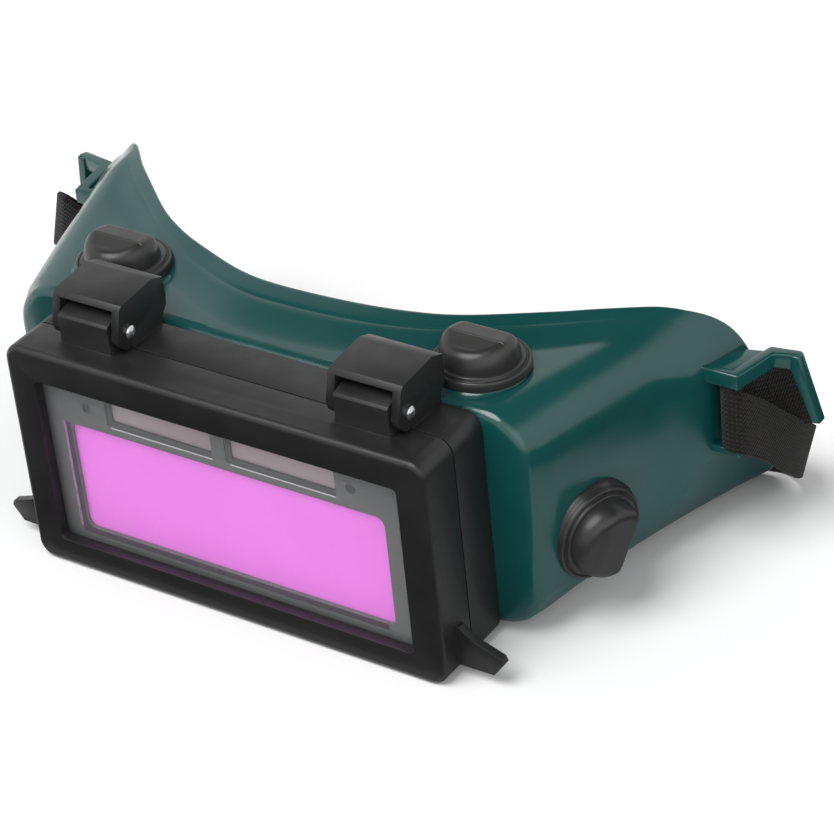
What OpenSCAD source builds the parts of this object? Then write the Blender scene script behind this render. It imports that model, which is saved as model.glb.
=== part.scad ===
// Flip-front welding goggles: a soft ventilated face shroud, a fixed rear frame with a clear
// lens, a hinged cover that carries an auto-darkening filter cartridge, and a webbing strap.
// Inside the modules the origin is the centre of the closed cover's front face: x to the
// wearer's left, y towards the wearer, z up. placed() moves that to the part's own frame,
// which is the middle of the box that the goggles fill, on the surface they stand on.

/* [Frames] */
// Width of the flip cover and of the rear frame
frame_w = 121.5; // [119:0.5:124]
// Height of the flip cover and of the rear frame
frame_h = 62.6; // [61:0.2:64]
// Corner radius of both frames
frame_r = 4.5; // [3.5:0.5:6]
// Depth of the flip cover, front to back
cover_d = 12.1; // [12:0.1:12.4]
// Depth of the rear frame outside the shroud
rear_d = 12; // [11.8:0.1:12.4]
// Gap between the closed cover and the rear frame
frame_gap = 0.3; // [0.2:0.05:0.5]
// Width of the cover's window
window_w = 105; // [102:0.5:106]
// Height of the cover's window
window_h = 46.6; // [45:0.2:47.6]

/* [Filter cartridge] */
// Width of the standard filter, cover plate and clear lens
filter_w = 108; // [107:0.5:108.4]
// Height of the standard filter, cover plate and clear lens
filter_h = 51; // [50:0.5:51.2]
// Width of the viewing area
view_w = 92; // [88:1:94]
// Height of the viewing area
view_h = 31; // [29:0.5:32]
// Height of the viewing area's centre
view_z = -5.8; // [-6.4:0.2:-5]
// Width of one solar cell
cell_w = 31.5; // [28:0.5:32]
// Height of one solar cell
cell_h = 7; // [7:0.5:9]

/* [Hinge] */
// Distance of each hinge's middle from the centre plane
hinge_x = 40; // [38:0.5:42]
// Width of one hinge hood, over both cheeks
hood_w = 20; // [19:0.5:21]
// Thickness of a hood's cheeks and roof
hood_t = 2.2; // [1.8:0.1:2.4]
// Radius of the hinge pins
pin_r = 1.5; // [1.3:0.1:1.6]
// Clearance of each pin in its knuckle, on the radius
pin_play = 0.05; // [0.03:0.01:0.08]

/* [Shroud] */
// Width of the shroud behind the frames
front_w = 145.6; // [144:0.4:146.4]
// Width of the shroud at the temples
rim_w = 178.6; // [176:0.2:180]
// Wall thickness of the shroud
wall = 2.3; // [2:0.1:2.8]
// Depth of the rim's middle, at the forehead
forehead_y = 46.5; // [44:0.5:49]
// Radius of the forehead curve
forehead_r = 112; // [104:1:120]
// Depth of the rim at the lower temples
temple_y = 108; // [104:1:109]
// Outward curl of the rim at the forehead
lip = 1.8; // [1:0.2:3.4]

/* [Vents] */
// Radius of a vent's flange
vent_r = 12; // [11:0.2:12.4]
// Radius of a vent's hooded cap
cap_r = 9.8; // [9:0.1:9.9]

/* [Strap] */
// Width of the webbing
strap_w = 18; // [16:0.5:20]
// Thickness of the webbing
strap_t = 1.4; // [1:0.1:1.6]

/* [Hidden] */
$fn = 64;
e = 0.01;

// Overall depth, and so where the cover's front face stands in the part's frame
overall_d = 112.5;
front_y = -overall_d / 2;
mid_z = frame_h / 2;

// Depths behind the cover's front face
rear_y = cover_d + frame_gap;
shroud_y = rear_y + rear_d;
window_z = -0.5;
bezel_wall = 3;

// Filter stack, front to back
plate_t = 1.2;
bezel_y = bezel_wall + 0.1 + plate_t + 0.1;
bezel_t = 1.2;
case_t = 6.2;
back_t = 1.2;
clip_y = bezel_y + case_t + 0.1;
glass_y = bezel_y + bezel_t + 0.05;

// Places on the filter's face: viewing area, solar cells and light sensors
view_x = -1;
cell_x = [-19.3, 16.2];
cell_z = 15.5;
sensor_x = [-41, 36.4];
sensor_z = 15.4;
sensor_r = 1.2;

// Hinge axis, and the knuckle and hood built around it
pin_y = 11.8;
pin_z = 36;
knuckle_r = 4.4;
knuckle_y = 6.9;
hood_side_gap = 0.35;

// Clear lens stack in the rear frame, front to back
lens_clip_y = rear_y + 0.5;
lens_t = 3;
lens_y = lens_clip_y + 1.3;
gasket_y = lens_y + lens_t;
ledge_y = gasket_y + 1;
spigot_w = 112;
spigot_h = 50;
spigot_end = 30.4;
retainer_y = shroud_y + wall + 0.5;

// Shroud outline: heights of its top and bottom, and the two corner radii
shroud_top = 31.6;
shroud_bottom = -29;
n_top = 14;
n_side = 5;
n_arc = 5;
outline_n = 2 * n_top + 2 * n_side + 4 * n_arc;

// Vents: places on the right half, turn of the low caps about their axis, and the steps of a
// vent from the shroud's collar to the cap
top_vent = [50.9, 40.2, 33.3];
low_vent = [78.2, 42.8, -7.3];
low_turn = -26;
collar_h = 1.6;
flange_h = 1.4;
seat_h = 2.25;
neck_r = 8.2;
neck_h = 5.2;
cap_h = 9;

// Strap hardware on each temple
bar_r = 1.6;
bar_x = 95.3;
bar_y = 80;
lug_top = 21.3;
lug_h = 4.2;
lug_low = -2.2;
strap_back = 95;
back_z = -19.4;
slider_x = 20;

module placed() {
    translate([0, front_y, mid_z]) children();
}

// ---------- shared shapes ----------

// Rounded rectangle in the x-z plane, from depth y0 for a depth of d
module slab(w, h, r, y0, d, z = 0) {
    translate([0, y0 + d, z])
        rotate([90, 0, 0])
            linear_extrude(height = d)
                rounded_rect(w, h, r);
}

module rounded_rect(w, h, r) {
    union() {
        square([w - 2 * r, h], center = true);
        square([w, h - 2 * r], center = true);
        for (sx = [-1, 1], sz = [-1, 1])
            translate([sx * (w / 2 - r), sz * (h / 2 - r)]) circle(r);
    }
}

// Rounded slab whose front outer edge is filleted all round
module soft_slab(w, h, r, y0, d, f) {
    translate([0, y0, 0]) {
        rotate([-90, 0, 0])
            for (sx = [-1, 1], sz = [-1, 1])
                translate([sx * (w / 2 - r), sz * (h / 2 - r), 0])
                    rotate([0, 0, sx > 0 ? (sz > 0 ? 0 : -90) : (sz > 0 ? 90 : 180)])
                        rotate_extrude(angle = 90) edge_profile(r, d, f);
        for (sx = [-1, 1])
            translate([sx * (w / 2 - r), 0, -(h / 2 - r)])
                mirror([sx < 0 ? 1 : 0, 0, 0])
                    linear_extrude(height = h - 2 * r) edge_profile(r, d, f);
        for (sz = [-1, 1])
            translate([-(w / 2 - r), 0, sz * (h / 2 - r)])
                rotate([0, 90, 0])
                    linear_extrude(height = w - 2 * r)
                        mirror([sz > 0 ? 1 : 0, 0, 0]) edge_profile(r, d, f);
        translate([-(w / 2 - r), 0, -(h / 2 - r)]) cube([w - 2 * r, d, h - 2 * r]);
    }
}

// Edge section: x outwards from the corner's centre, y backwards from the front face
module edge_profile(r, d, f) {
    union() {
        square([r - f, d]);
        translate([0, f]) square([r, d - f]);
        intersection() {
            translate([r - f, f]) circle(f);
            square([r, d]);
        }
    }
}

// A section in y and z, given thickness w along x and centred on x0
module across(x0, w) {
    translate([x0 - w / 2, 0, 0])
        rotate([90, 0, 90])
            linear_extrude(height = w) children();
}

module x_bore(x0, w, r) {
    translate([x0 - w / 2, pin_y, pin_z]) rotate([0, 90, 0]) cylinder(h = w, r = r);
}

// ---------- shroud ----------

// Outline of one section as [x, z] points, clockwise from the top left
function outline(hw, top, low, rt, rb) = concat(
    [for (i = [0 : n_top - 1]) [(hw - rt) * (2 * i / n_top - 1), top]],
    [for (i = [0 : n_arc - 1]) let (a = 90 - 90 * i / n_arc)
        [hw - rt + rt * cos(a), top - rt + rt * sin(a)]],
    [for (i = [0 : n_side - 1]) [hw, top - rt - (top - rt - low - rb) * i / n_side]],
    [for (i = [0 : n_arc - 1]) let (a = -90 * i / n_arc)
        [hw - rb + rb * cos(a), low + rb + rb * sin(a)]],
    [for (i = [0 : n_top - 1]) [(hw - rb) * (1 - 2 * i / n_top), low]],
    [for (i = [0 : n_arc - 1]) let (a = -90 - 90 * i / n_arc)
        [-(hw - rb) + rb * cos(a), low + rb + rb * sin(a)]],
    [for (i = [0 : n_side - 1]) [-hw, low + rb + (top - rt - low - rb) * i / n_side]],
    [for (i = [0 : n_arc - 1]) let (a = 180 - 90 * i / n_arc)
        [-(hw - rt) + rt * cos(a), top - rt + rt * sin(a)]]);

function forehead(x) = forehead_y + forehead_r - sqrt(pow(forehead_r, 2) - pow(x, 2));
function temple(z) = temple_y - 22 * (z - shroud_bottom) / 50;
function cheek(x) = 62 + (temple_y - 62) * pow(sin(90 * min(abs(x) / 86, 1)), 2);

// Depth of the rim at one point of its outline
function rim_depth(p, low, top, rt, rb) =
    p[1] > top - rt + e
        ? let (t = acos(min(1, max(0, (p[1] - top + rt) / rt))) / 90)
            (1 - pow(t, 3)) * forehead(min(abs(p[0]), 90)) + pow(t, 3) * temple(p[1])
        : p[1] < low + rb - e
            ? let (t = acos(min(1, max(0, (low + rb - p[1]) / rb))) / 90)
                (1 - pow(t, 2)) * cheek(p[0]) + pow(t, 2) * temple(p[1])
            : temple(p[1]);

// Half width, and corner radii, at fraction s of the way back
function half_w(s) = front_w / 2 + (rim_w - front_w) / 2 * s;
function r_top(s) = 13 - 2 * s;
function r_low(s) = 13 - 8 * s + 18 * s * (1 - s);
// The nose gap lifts the shroud's floor towards the rim
function nose_lift(x, s) = 17 * pow(s, 2) * exp(-pow(x / 19, 2));
// The top edge rises a little towards the temples
function temple_lift(x, s) = 2.2 * pow(s, 2) * pow(min(abs(x) / 84, 1), 4);
function lip_share(x) = 0.35 + 0.65 * max(0, cos(min(abs(x), 90)));

// One ring of the shroud: s is the share of the depth, in the inset from the outer face,
// out the curl of the lip there, back a last step along the rim's own depth
function ring(s, in, out, back) =
    let (rim = outline(half_w(1), shroud_top + 0.8, shroud_bottom, r_top(1), r_low(1)),
         here = outline(half_w(s) - in, shroud_top + 0.8 * s - in, shroud_bottom + in,
                        r_top(s) - in, r_low(s) - in),
         mid = (shroud_top + shroud_bottom) / 2)
    [for (i = [0 : outline_n - 1])
        let (p = here[i], q = rim[i],
             depth = rim_depth(q, shroud_bottom, shroud_top + 0.8, r_top(1), r_low(1)),
             up = p[1] > mid ? 1 : 0,
             k = (p[1] - mid) / (shroud_top - mid),
             bulge = 1.4 * s * max(0, 1 - k * k) * p[0] / half_w(s))
        [p[0] + bulge + out * 0.35 * p[0] / half_w(1),
         shroud_y + (depth - shroud_y) * s + back,
         p[1] + (up == 1 ? (out * lip_share(p[0]) + temple_lift(p[0], s)) * k
                         : nose_lift(p[0], s))]];

module shroud_shell() {
    face = outline(spigot_w / 2 + 0.3, spigot_h / 2 + 0.3, -spigot_h / 2 - 0.3, 2.6, 2.6);
    rings = concat(
        [[for (p = face) [p[0], shroud_y, p[1]]]],
        [[for (p = ring(0, 1.6, 0, 0)) p]],
        [[for (p = ring(0, 0.5, 0, 0.5)) p]],
        [for (s = [0.03, 0.2, 0.4, 0.6]) ring(s, 0, 0, 0)],
        [ring(0.78, 0, 0.25 * lip, 0)],
        [ring(0.92, 0, 0.65 * lip, 0)],
        [ring(1, 0, lip, 0)],
        [ring(1, wall * 0.6, lip * 0.9, 0.6)],
        [ring(0.97, wall, lip * 0.6, 0)],
        [ring(0.78, wall, 0.2 * lip, 0)],
        [for (s = [0.5, 0.2]) ring(s, wall, 0, 0)],
        [ring(0, wall, 0, wall + 0.5)],
        [[for (p = face) [p[0], shroud_y + wall, p[1]]]]);
    m = len(rings);
    polyhedron(
        points = [for (r = rings, p = r) p],
        faces = [for (j = [0 : m - 1], i = [0 : outline_n - 1], half = [0, 1])
            let (a = j * outline_n + i, b = j * outline_n + (i + 1) % outline_n,
                 k = (j + 1) % m, c = k * outline_n + i,
                 d = k * outline_n + (i + 1) % outline_n)
            half == 0 ? [a, c, b] : [b, c, d]]);
}

module vent_at(top, side) {
    if (top)
        mirror([side < 0 ? 1 : 0, 0, 0])
            translate(top_vent) rotate([-2, 0, 0]) children();
    else
        mirror([side < 0 ? 1 : 0, 0, 0])
            translate(low_vent) rotate([0, 0, -17]) rotate([0, 94, 0]) rotate([0, 0, low_turn])
                children();
}

module each_vent() {
    for (top = [true, false], side = [-1, 1])
        vent_at(top, side) children();
}

// Moulded strap loop on the right temple
module strap_lug() {
    plate_z = lug_top - lug_h;
    translate([86.5, 76.6, plate_z]) cube([10.5, 2.2, lug_h]);
    translate([0, 0, plate_z])
        linear_extrude(height = lug_h)
            polygon([[86.5, 76.6], [97.8, 76.6], [100.6, 89.4], [106.8, 91.4], [106.2, 94.2],
                     [98.4, 92.6], [95.4, 82.2], [95, 79], [86.5, 79]]);
    translate([0, 0, lug_top - 2.1])
        linear_extrude(height = 1.3)
            polygon([[86, 78], [95.6, 78], [98.4, 91], [93, 89], [86, 84]]);
    translate([bar_x, bar_y, lug_low]) cylinder(h = lug_top - lug_low - 1, r = bar_r, $fn = 32);
    translate([0, 0, lug_low - 1.4])
        linear_extrude(height = 2)
            polygon([[86, 78.4], [96.4, 78.4], [96.8, 81.8], [86, 81.8]]);
    outer_post();
}

module outer_post() {
    translate([0, 94.4, 0])
        rotate([90, 0, 0])
            linear_extrude(height = 4.6)
                polygon([[103.6, lug_top], [106.6, lug_top], [112, 3.6], [109.2, 3.2],
                         [103.6, lug_top - lug_h]]);
}

module goggle_body() {
    color([0.06, 0.28, 0.27])
        placed()
            difference() {
                union() {
                    shroud_shell();
                    each_vent()
                        translate([0, 0, -collar_h - 1]) cylinder(h = collar_h + 1, r = vent_r + 0.6);
                    strap_lug();
                    mirror([1, 0, 0]) strap_lug();
                }
                each_vent() translate([0, 0, -12]) cylinder(h = 20, r = neck_r + 0.2);
            }
}

// ---------- vents ----------

module vent_seat(top, side) {
    color([0.1, 0.1, 0.1])
        placed()
            vent_at(top, side)
                difference() {
                    union() {
                        translate([0, 0, 0.05]) cylinder(h = flange_h, r = vent_r);
                        translate([0, 0, 1]) cylinder(h = seat_h - 1.05, r = cap_r + 0.8);
                        translate([0, 0, -neck_h]) cylinder(h = neck_h + 1, r = neck_r);
                    }
                    translate([0, 0, -neck_h - 1]) cylinder(h = neck_h + 1, r = neck_r - 1.6);
                    intersection() {
                        translate([0, 0, -1]) cylinder(h = neck_h, r = neck_r - 1.6);
                        translate([-neck_r, 2.4 - 2 * neck_r, -1]) cube([2 * neck_r, 2 * neck_r, neck_h]);
                    }
                }
}

// Hooded cap: domed front wall, sloping face, ridge, and a flat open back
module vent_cap(top, side) {
    color([0.12, 0.12, 0.12])
        placed()
            vent_at(top, side)
                translate([0, 0, seat_h])
                    difference() {
                        intersection() {
                            cylinder(h = cap_h, r = cap_r);
                            across(0, 3 * cap_r)
                                polygon([[-cap_r, 0], [-cap_r + 0.2, 1.8], [-cap_r + 1, 3.4],
                                         [-cap_r + 2.2, 4.5], [-cap_r + 3.5, 5], [-1.8, 6],
                                         [3.2, 5.6], [3.9, 5], [4, 0]]);
                        }
                        intersection() {
                            translate([0, 0, -e]) cylinder(h = cap_h, r = cap_r - 1.5);
                            across(0, 3 * cap_r)
                                polygon([[-cap_r + 1.6, -e], [-cap_r + 1.8, 1.6], [-cap_r + 3.8, 3.4],
                                         [-1.8, 4.4], [8, 3.8], [8, -e]]);
                        }
                    }
}

// ---------- rear frame and its clear lens ----------

module hood_section() {
    polygon(concat(
        [for (a = [180 : 18 : 270]) [pin_y + knuckle_r * cos(a), pin_z + knuckle_r * sin(a)]],
        [[rear_y, 31.4], [rear_y, mid_z - 1], [shroud_y, mid_z - 1], [shroud_y, 33.2],
         [26.4, 35.5], [26.8, 38], [26.6, 43.2], [22.5, 44.8], [10.4, 43.9], [9.4, 42.9]]));
}

module hood_hollow() {
    polygon([[0, mid_z], [0, 42.5], [18.6, 42.5], [18.6, mid_z], [rear_y, mid_z - e]]);
}

module hinge_hood(x0) {
    difference() {
        across(x0, hood_w) hood_section();
        across(x0, hood_w - 2 * hood_t) hood_hollow();
        x_bore(x0, hood_w + 2, pin_r + 0.02);
    }
}

module rear_frame() {
    color([0.16, 0.16, 0.17])
        placed() {
            difference() {
                union() {
                    slab(frame_w, frame_h, frame_r, rear_y, rear_d);
                    slab(spigot_w, spigot_h, 3, shroud_y - 1, spigot_end - shroud_y + 1);
                }
                slab(filter_w + 0.8, filter_h + 0.8, 1, rear_y - 1, ledge_y - rear_y + 1, window_z);
                slab(100, 43, 2, ledge_y - 1, 4, window_z);
                slab(spigot_w - 4.4, spigot_h - 4.4, 2, ledge_y + 2, 20);
            }
            for (side = [-1, 1]) hinge_hood(side * hinge_x);
        }
}

// Ring that clamps the shroud's front wall against the rear frame
module frame_retainer() {
    color([0.13, 0.13, 0.14])
        placed()
            difference() {
                slab(spigot_w + 7, spigot_h + 2.8, 4, retainer_y, 1.8);
                slab(spigot_w + 0.2, spigot_h + 0.2, 3, retainer_y - 1, 5);
            }
}

module lens_gasket() {
    color([0.08, 0.08, 0.08])
        placed()
            difference() {
                slab(filter_w, filter_h, 1, gasket_y + 0.05, 0.9, window_z);
                slab(filter_w - 7, filter_h - 7, 2, gasket_y - 1, 4, window_z);
            }
}

module clear_lens() {
    color([0.85, 0.92, 0.95, 0.4])
        placed() slab(filter_w, filter_h, 1, lens_y, lens_t, window_z);
}

module lens_clip() {
    color([0.15, 0.15, 0.16])
        placed()
            difference() {
                slab(filter_w + 0.6, filter_h + 0.6, 1, lens_clip_y, 1.2, window_z);
                slab(filter_w - 6, filter_h - 6, 2, lens_clip_y - 1, 4, window_z);
            }
}

module hinge_pin(side) {
    x_left = side * hinge_x - hood_w / 2;
    color([0.8, 0.8, 0.82])
        placed()
            translate([x_left, pin_y, pin_z])
                rotate([0, 90, 0]) {
                    cylinder(h = hood_w + 0.1, r = pin_r);
                    translate([0, 0, hood_w + 0.05]) cylinder(h = 0.5, r = pin_r + 0.25);
                    translate([0, 0, hood_w + 0.55])
                        intersection() {
                            translate([0, 0, -1.7]) sphere(r = 2.44);
                            cylinder(h = 1, r = pin_r + 0.25);
                        }
                }
}

// ---------- flip cover ----------

module knuckle_section() {
    top_z = mid_z - 0.5;
    translate([pin_y, pin_z]) circle(knuckle_r);
    polygon([[knuckle_y, top_z], [knuckle_y, pin_z + 2.6], [knuckle_y + 0.5, pin_z + 3.2],
             [pin_y - 2.1, pin_z + 4], [pin_y, pin_z + knuckle_r], [pin_y, top_z]]);
}

// Ribbed tab that lifts the cover, on the right side
module lift_fin() {
    translate([0, 8.4, 0])
        rotate([90, 0, 0])
            linear_extrude(height = 2.2)
                polygon([[58, -17], [61.6, -17], [63.4, -18.6], [66.4, -20.4], [72.8, -22.6],
                         [73.4, -24], [70.4, -28], [58, -28.2]]);
}

module flip_cover() {
    color([0.15, 0.15, 0.16])
        placed()
            difference() {
                union() {
                    difference() {
                        soft_slab(frame_w, frame_h, frame_r, 0, cover_d, 1.6);
                        slab(window_w, window_h, 1.2, -1, 8, window_z);
                        slab(filter_w + 0.8, filter_h + 0.8, 1, bezel_wall, cover_d, window_z);
                    }
                    for (side = [-1, 1]) {
                        across(side * hinge_x, hood_w - 2 * hood_t - 2 * hood_side_gap)
                            knuckle_section();
                        mirror([side < 0 ? 1 : 0, 0, 0]) lift_fin();
                    }
                }
                for (side = [-1, 1]) x_bore(side * hinge_x, hood_w, pin_r + pin_play);
            }
}

module cover_plate() {
    color([0.9, 0.93, 0.95, 0.3])
        placed() slab(filter_w, filter_h, 1, bezel_wall + 0.1, plate_t, window_z);
}

// ---------- auto-darkening cartridge ----------

module filter_bezel() {
    color([0.35, 0.35, 0.37])
        placed()
            difference() {
                slab(filter_w, filter_h, 1, bezel_y, case_t - back_t - 0.1, window_z);
                slab(filter_w - 2.4, filter_h - 2.4, 1, bezel_y + bezel_t, case_t, window_z);
                translate([view_x, 0, 0]) slab(view_w, view_h, 2.5, bezel_y - 1, 4, view_z);
                for (x0 = cell_x)
                    translate([x0, 0, 0]) slab(cell_w, cell_h, 0.6, bezel_y - 1, 4, cell_z);
                for (x0 = sensor_x)
                    translate([x0, bezel_y - 1, sensor_z])
                        rotate([-90, 0, 0]) cylinder(h = 4, r = sensor_r + 0.2);
            }
}

module filter_back() {
    color([0.1, 0.1, 0.11])
        placed()
            difference() {
                slab(filter_w, filter_h, 1, bezel_y + case_t - back_t, back_t, window_z);
                translate([view_x, 0, 0])
                    slab(view_w, view_h, 2.5, bezel_y + case_t - back_t - 1, 4, view_z);
            }
}

module optic(y0, t) {
    placed() translate([view_x, 0, 0]) slab(view_w + 5, view_h + 0.8, 0.6, y0, t, view_z);
}

module filter_glass() {
    color([0.9, 0.55, 0.92]) optic(glass_y, 1.6);
}

module lcd_cell_front() {
    color([0.5, 0.55, 0.6, 0.5]) optic(glass_y + 1.65, 0.85);
}

module lcd_cell_rear() {
    color([0.5, 0.55, 0.6, 0.5]) optic(glass_y + 2.55, 0.85);
}

module circuit_board() {
    color([0.1, 0.35, 0.2])
        placed() slab(100, 11, 0.5, glass_y + 1.6, 1, 17.6);
}

module solar_cell(i) {
    color([0.45, 0.38, 0.42])
        placed()
            translate([cell_x[i], 0, 0])
                slab(cell_w + 1.6, cell_h + 0.4, 0.4, glass_y, 0.9, cell_z);
}

module light_sensor(i) {
    color([0.12, 0.1, 0.14])
        placed()
            translate([sensor_x[i], bezel_y + 0.3, sensor_z])
                rotate([-90, 0, 0]) cylinder(h = glass_y + 1.25 - bezel_y, r = sensor_r);
}

module filter_clip() {
    color([0.13, 0.13, 0.13])
        placed()
            difference() {
                slab(filter_w + 0.6, filter_h + 0.6, 1, clip_y, cover_d - clip_y - 0.1, window_z);
                slab(filter_w - 8, filter_h - 8, 2, clip_y - 1, 4, window_z);
            }
}

// ---------- strap ----------

// Half route from the sewn tail at the right temple to the middle of the back:
// x, y, height of the webbing's middle, outward lean of its top edge in degrees
strap_half = [
    [103.2, 102, 7.4, 0], [101.4, 100.2, 7.4, 0], [99.3, 96.8, 7.4, 0], [97.2, 91.6, 7.6, 0],
    [95.4, 87.2, 7.8, 0], [93.5, 83.4, 7.9, 0], [92.5, 80.4, 8, 0], [93.1, 78, 8, 0],
    [95.2, 76.9, 8, 0], [97.4, 78, 7.2, 0], [98.6, 81, 5, 0], [99.9, 86, 0.8, 2],
    [101.1, 91, -4.4, 4], [101.7, 96, -9.8, 7], [101.2, 101, -14.8, 11], [99.3, 106, -19, 13],
    [95.8, 109.8, -21.4, 11], [90.8, 111.8, -22.2, 5], [84, 111.4, -22.3, 0],
    [76, 108.6, -22.3, 0], [67, 104.4, -22.3, 0], [59, 100, -22, 0],
    [52, strap_back + 1.8, -21, 0], [46, strap_back + 0.2, -20, 0], [40, strap_back, back_z, 0]];

function mirrored(list) = [for (i = [len(list) - 1 : -1 : 0])
    [-list[i][0], list[i][1], list[i][2], -list[i][3]]];
strap_route = concat(strap_half, mirrored(strap_half));

function heading(i) =
    let (a = strap_route[max(i - 1, 0)], b = strap_route[min(i + 1, len(strap_route) - 1)],
         d = [b[0] - a[0], b[1] - a[1]])
    d / norm(d);

module head_strap() {
    n = len(strap_route);
    corners = [[-1, -1], [1, -1], [1, 1], [-1, 1]];
    color([0.13, 0.11, 0.1])
        placed()
            polyhedron(
                points = [for (i = [0 : n - 1])
                    let (p = strap_route[i], h = heading(i), lean = p[3],
                         side = [h[1], -h[0], 0],
                         up = [sin(lean), 0, cos(lean)])
                    for (c = corners)
                        [p[0], p[1], p[2]] + side * c[0] * strap_t / 2 + up * c[1] * strap_w / 2],
                faces = concat(
                    [[3, 2, 1, 0]],
                    [for (i = [0 : n - 2], k = [0 : 3], half = [0, 1])
                        let (a = 4 * i + k, b = 4 * i + (k + 1) % 4, c = a + 4, d = b + 4)
                        half == 0 ? [a, b, c] : [b, d, c]],
                    [[for (k = [0 : 3]) 4 * (n - 1) + k]]));
}

// Adjuster on the straight stretch behind the shroud: two windows in front, one bar behind
module strap_slider() {
    gap = 0.4;
    plate_t = 1.5;
    slider_w = 24;
    slider_h = strap_w + 5.2;
    slider_d = strap_t + 2 * gap + 2 * plate_t;
    slot_h = strap_w + 2 * gap;
    color([0.1, 0.1, 0.1])
        placed()
            translate([slider_x, strap_back - slider_d / 2, back_z])
                difference() {
                    translate([-slider_w / 2, 0, -slider_h / 2]) cube([slider_w, slider_d, slider_h]);
                    translate([-slider_w / 2 - 1, plate_t, -slot_h / 2])
                        cube([slider_w + 2, strap_t + 2 * gap, slot_h]);
                    for (side = [-1, 1]) {
                        translate([side * 5.1 - 3.5, -1, -slot_h / 2]) cube([7, plate_t + 2, slot_h]);
                        translate([side * 7.5 - 5.5, slider_d - plate_t - e, -slot_h / 2])
                            cube([11, plate_t + 2, slot_h]);
                    }
                }
}

goggle_body();
rear_frame();
frame_retainer();
lens_gasket();
clear_lens();
lens_clip();
flip_cover();
cover_plate();
filter_bezel();
filter_back();
filter_glass();
lcd_cell_front();
lcd_cell_rear();
circuit_board();
solar_cell(0);  // solar_cell_left
solar_cell(1);  // solar_cell_right
light_sensor(0);  // light_sensor_left
light_sensor(1);  // light_sensor_right
filter_clip();
hinge_pin(-1);  // hinge_pin_left
hinge_pin(1);  // hinge_pin_right
vent_seat(true, -1);  // vent_seat_top_left
vent_seat(true, 1);  // vent_seat_top_right
vent_seat(false, -1);  // vent_seat_low_left
vent_seat(false, 1);  // vent_seat_low_right
vent_cap(true, -1);  // vent_cap_top_left
vent_cap(true, 1);  // vent_cap_top_right
vent_cap(false, -1);  // vent_cap_low_left
vent_cap(false, 1);  // vent_cap_low_right
head_strap();
strap_slider();
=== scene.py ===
import math

import bmesh
import bpy
import numpy as np
from mathutils import Matrix, Vector


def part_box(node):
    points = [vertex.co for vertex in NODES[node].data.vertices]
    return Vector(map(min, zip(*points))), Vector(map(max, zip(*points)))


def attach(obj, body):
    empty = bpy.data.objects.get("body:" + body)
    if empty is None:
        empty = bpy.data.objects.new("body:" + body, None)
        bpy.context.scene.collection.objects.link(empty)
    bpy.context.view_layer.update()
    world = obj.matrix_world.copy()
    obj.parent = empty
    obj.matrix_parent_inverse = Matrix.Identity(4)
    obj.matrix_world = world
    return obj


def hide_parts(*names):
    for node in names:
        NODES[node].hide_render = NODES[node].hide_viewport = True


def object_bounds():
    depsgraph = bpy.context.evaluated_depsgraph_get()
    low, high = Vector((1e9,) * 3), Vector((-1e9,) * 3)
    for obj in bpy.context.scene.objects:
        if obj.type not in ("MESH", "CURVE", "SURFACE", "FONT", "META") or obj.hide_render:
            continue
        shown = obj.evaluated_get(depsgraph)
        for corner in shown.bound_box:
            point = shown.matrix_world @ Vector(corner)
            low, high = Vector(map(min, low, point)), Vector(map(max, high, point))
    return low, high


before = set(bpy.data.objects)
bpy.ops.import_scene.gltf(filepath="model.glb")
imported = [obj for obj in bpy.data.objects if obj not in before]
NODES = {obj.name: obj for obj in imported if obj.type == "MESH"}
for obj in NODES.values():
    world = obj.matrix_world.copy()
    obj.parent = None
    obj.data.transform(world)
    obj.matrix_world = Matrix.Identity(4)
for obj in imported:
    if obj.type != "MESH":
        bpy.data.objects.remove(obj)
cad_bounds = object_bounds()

MM = 0.001
SHELL_BODY, COVER_BODY, SLIDER_BODY = "goggles", "cover", "slider"

# The design frame: origin at the centre of the closed cover's front face, in millimetres,
# x to the wearer's left, y towards the wearer, z up. Left and right in names and comments are
# as seen from the front, so left is towards -x.
FRAME_H = 62.6      # height of the cover and of the frame behind it
cover_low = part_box("flip_cover")[0]
ORIGIN = Vector((0, cover_low.y, cover_low.z + FRAME_H / 2 * MM))


def to_metres(points):
    """Design-frame millimetres to row-frame metres."""
    return np.asarray(points, float).reshape(-1, 3) * MM + np.array(ORIGIN)


def to_mm(points):
    return (np.asarray(points, float).reshape(-1, 3) - np.array(ORIGIN)) / MM


# ---------- mesh helpers ----------

def new_object(name, verts_mm, faces):
    mesh = bpy.data.meshes.new(name)
    mesh.from_pydata(to_metres(verts_mm).tolist(), [], faces)
    mesh.validate()
    obj = bpy.data.objects.new(name, mesh)
    bpy.context.collection.objects.link(obj)
    return obj


def apply_modifiers(obj):
    graph = bpy.context.evaluated_depsgraph_get()
    mesh = bpy.data.meshes.new_from_object(obj.evaluated_get(graph))
    obj.modifiers.clear()
    old, obj.data = obj.data, mesh
    bpy.data.meshes.remove(old)
    return obj


def discard(obj):
    data = obj.data
    bpy.data.objects.remove(obj)
    bpy.data.meshes.remove(data)


def move_points(obj, moved):
    """Replace the mesh's points by what moved makes of them, in design millimetres."""
    co = np.zeros(len(obj.data.vertices) * 3)
    obj.data.vertices.foreach_get("co", co)
    obj.data.vertices.foreach_set("co", to_metres(moved(to_mm(co))).ravel())
    obj.data.update()


def recalc_normals(obj):
    bm = bmesh.new()
    bm.from_mesh(obj.data)
    bmesh.ops.recalc_face_normals(bm, faces=bm.faces)
    bm.to_mesh(obj.data)
    bm.free()


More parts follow.
